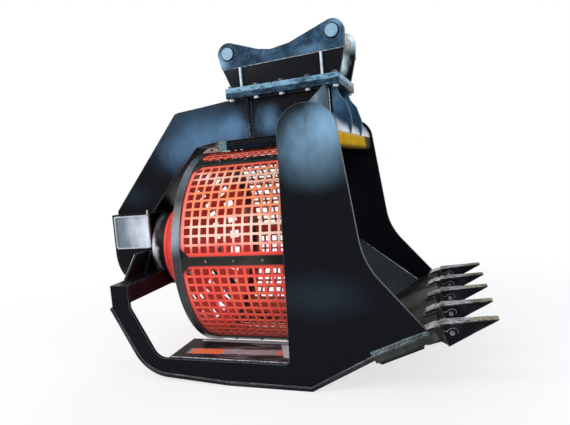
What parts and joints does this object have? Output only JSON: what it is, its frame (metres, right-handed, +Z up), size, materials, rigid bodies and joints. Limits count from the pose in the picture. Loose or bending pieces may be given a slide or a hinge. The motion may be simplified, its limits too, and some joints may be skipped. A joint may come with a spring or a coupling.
{
  "type": "screening bucket",
  "caption": "Screening bucket for an excavator: a toothed mouth, a turning screen drum between side plates, an arch with a pin hitch and a motor housing behind.",
  "frame": {"origin": "on the ground in the middle plane, under the middle of the skids and the discharge opening", "axes": "+X towards the mouth and teeth along the drum axis, +Y towards the bucket's left side, +Z up"},
  "size_m": [2.23, 1.316, 1.887],
  "materials": {
    "black_paint": "gloss",
    "red_paint": "semi-gloss",
    "yellow_paint": "semi-gloss",
    "tooth_steel": "satin",
    "bolt_steel": "satin",
    "pin_steel": "polished",
    "worn_steel": "satin, worn",
    "drive_paint": "satin"
  },
  "bodies": {
    "frame": {"arch_bottom_skin": "black_paint", "arch_front_plate": "black_paint", "arch_guard": "black_paint", "arch_plate_left": "black_paint", "arch_plate_right": "black_paint", "arch_ribs": "black_paint", "arch_top_skin": "black_paint", "body_flange": "black_paint", "corner_plates": "black_paint", "ear_doubler_left": "black_paint", "ear_doubler_right": "black_paint", "ear_ribs": "black_paint", "flange_bolts": "bolt_steel", "front_gussets": "black_paint", "front_hitch_pin": "pin_steel", "gearbox": "drive_paint", "guide_brackets": "black_paint", "hitch_base": "black_paint", "hitch_cross_plate": "black_paint", "hitch_ear_left": "black_paint", "hitch_ear_right": "black_paint", "hood_plate": "black_paint", "housing_flange": "black_paint", "housing_gussets": "black_paint", "housing_rear_cover": "black_paint", "housing_side_panels": "black_paint", "hydraulic_motor": "drive_paint", "lip_plate": "tooth_steel", "lip_wear_plate": "tooth_steel", "motor_housing": "black_paint", "mouth_crosspiece": "yellow_paint", "mouth_floor": "black_paint", "rear_beams": "black_paint", "rear_hitch_pin": "pin_steel", "shoulder_gussets": "black_paint", "side_plate_left": "black_paint", "side_plate_right": "black_paint", "skid_strip_left": "worn_steel", "skid_strip_right": "worn_steel", "throat_plate": "black_paint", "tooth_adapters": "tooth_steel", "tooth_tips": "tooth_steel", "window_ledge_left": "worn_steel", "window_ledge_right": "worn_steel"},
    "drum": {"clamp_bars": "black_paint", "clamp_screws": "bolt_steel", "drum_front_ring": "black_paint", "drum_hub": "black_paint", "drum_rear_ring": "black_paint", "hub_bolts": "bolt_steel", "rear_cone": "red_paint", "screen_panel_1": "red_paint", "screen_panel_2": "red_paint", "screen_panel_3": "red_paint", "screen_panel_4": "red_paint", "screen_panel_5": "red_paint", "screen_panel_6": "red_paint"}
  },
  "joints": [
    {"name": "drum_spin", "type": "hinge", "parent": "frame", "child": "drum", "pos_m": [0, 0, 0.656], "axis": [1, 0, 0], "continuous": true}
  ]
}
